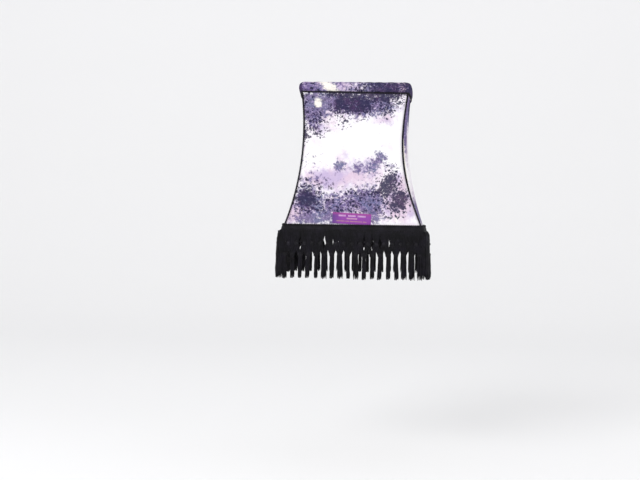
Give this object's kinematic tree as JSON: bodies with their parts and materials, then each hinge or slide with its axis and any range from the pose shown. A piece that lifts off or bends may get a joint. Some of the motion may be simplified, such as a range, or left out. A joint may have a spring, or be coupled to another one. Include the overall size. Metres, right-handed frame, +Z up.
{
  "type": "lamp shade",
  "caption": "Square bell lamp shade with printed panels, a collar, black corner braid, a braided header and tassel fringe, on a taped wire frame with a reversible gimbal.",
  "frame": {"origin": "centre of the lampholder bore in the reducer ring, at the middle of the fitter ring's plate", "axes": "+Z up towards the collar, -Y out of the front panel that carries the label, +X to the right seen from the front"},
  "size_m": [0.2036, 0.2036, 0.274],
  "materials": {
    "frame_wire": "white dipped wire, satin",
    "binding_tape": "cotton tape, matt",
    "cover_print": "printed cloth in purples, lilac and white, matt",
    "collar_print": "the same printed cloth, matt",
    "lining_cloth": "ivory lining, matt",
    "black_fringe": "black tassel yarn, slightly shiny",
    "black_braid": "narrow black braid, matt",
    "woven_label": "woven magenta tag",
    "gimbal_metal": "white dipped wire and plate, satin",
    "reducer_plastic": "white moulded plastic"
  },
  "bodies": {
    "shade": {"bottom_ring": "frame_wire", "bottom_ring_tape": "binding_tape", "collar_band": "collar_print", "corner_braid_back_left": "black_braid", "corner_braid_back_right": "black_braid", "corner_braid_front_left": "black_braid", "corner_braid_front_right": "black_braid", "cover_back": "cover_print", "cover_front": "cover_print", "cover_left": "cover_print", "cover_right": "cover_print", "fringe_back": "black_fringe", "fringe_front": "black_fringe", "fringe_header": "black_fringe", "fringe_left": "black_fringe", "fringe_right": "black_fringe", "label": "woven_label", "lining_back": "lining_cloth", "lining_front": "lining_cloth", "lining_left": "lining_cloth", "lining_patch_back_right": "lining_cloth", "lining_patch_front_left": "lining_cloth", "lining_right": "lining_cloth", "neck_piping": "black_braid", "neck_ring": "frame_wire", "neck_ring_tape": "binding_tape", "pivot_eye_back_right": "frame_wire", "pivot_eye_front_left": "frame_wire", "strut_back_left": "frame_wire", "strut_back_right": "frame_wire", "strut_front_left": "frame_wire", "strut_front_right": "frame_wire", "strut_tape_back_left": "binding_tape", "strut_tape_back_right": "binding_tape", "strut_tape_front_left": "binding_tape", "strut_tape_front_right": "binding_tape", "top_ring": "frame_wire", "top_ring_tape": "binding_tape"},
    "gimbal": {"fitter_ring": "gimbal_metal", "gimbal_arm_back_right": "gimbal_metal", "gimbal_arm_front_left": "gimbal_metal"},
    "reducer": {"reducer_ring": "reducer_plastic"}
  },
  "joints": [
    {"name": "gimbal_tilt", "type": "hinge", "parent": "shade", "child": "gimbal", "pos_m": [0, 0, 0.045], "axis": [0.7071, 0.7071, 0], "range_deg": [-20, 200]},
    {"name": "reducer_lift", "type": "slide", "parent": "gimbal", "child": "reducer", "axis": [0, 0, 1], "range_m": [0, 0.02]}
  ]
}
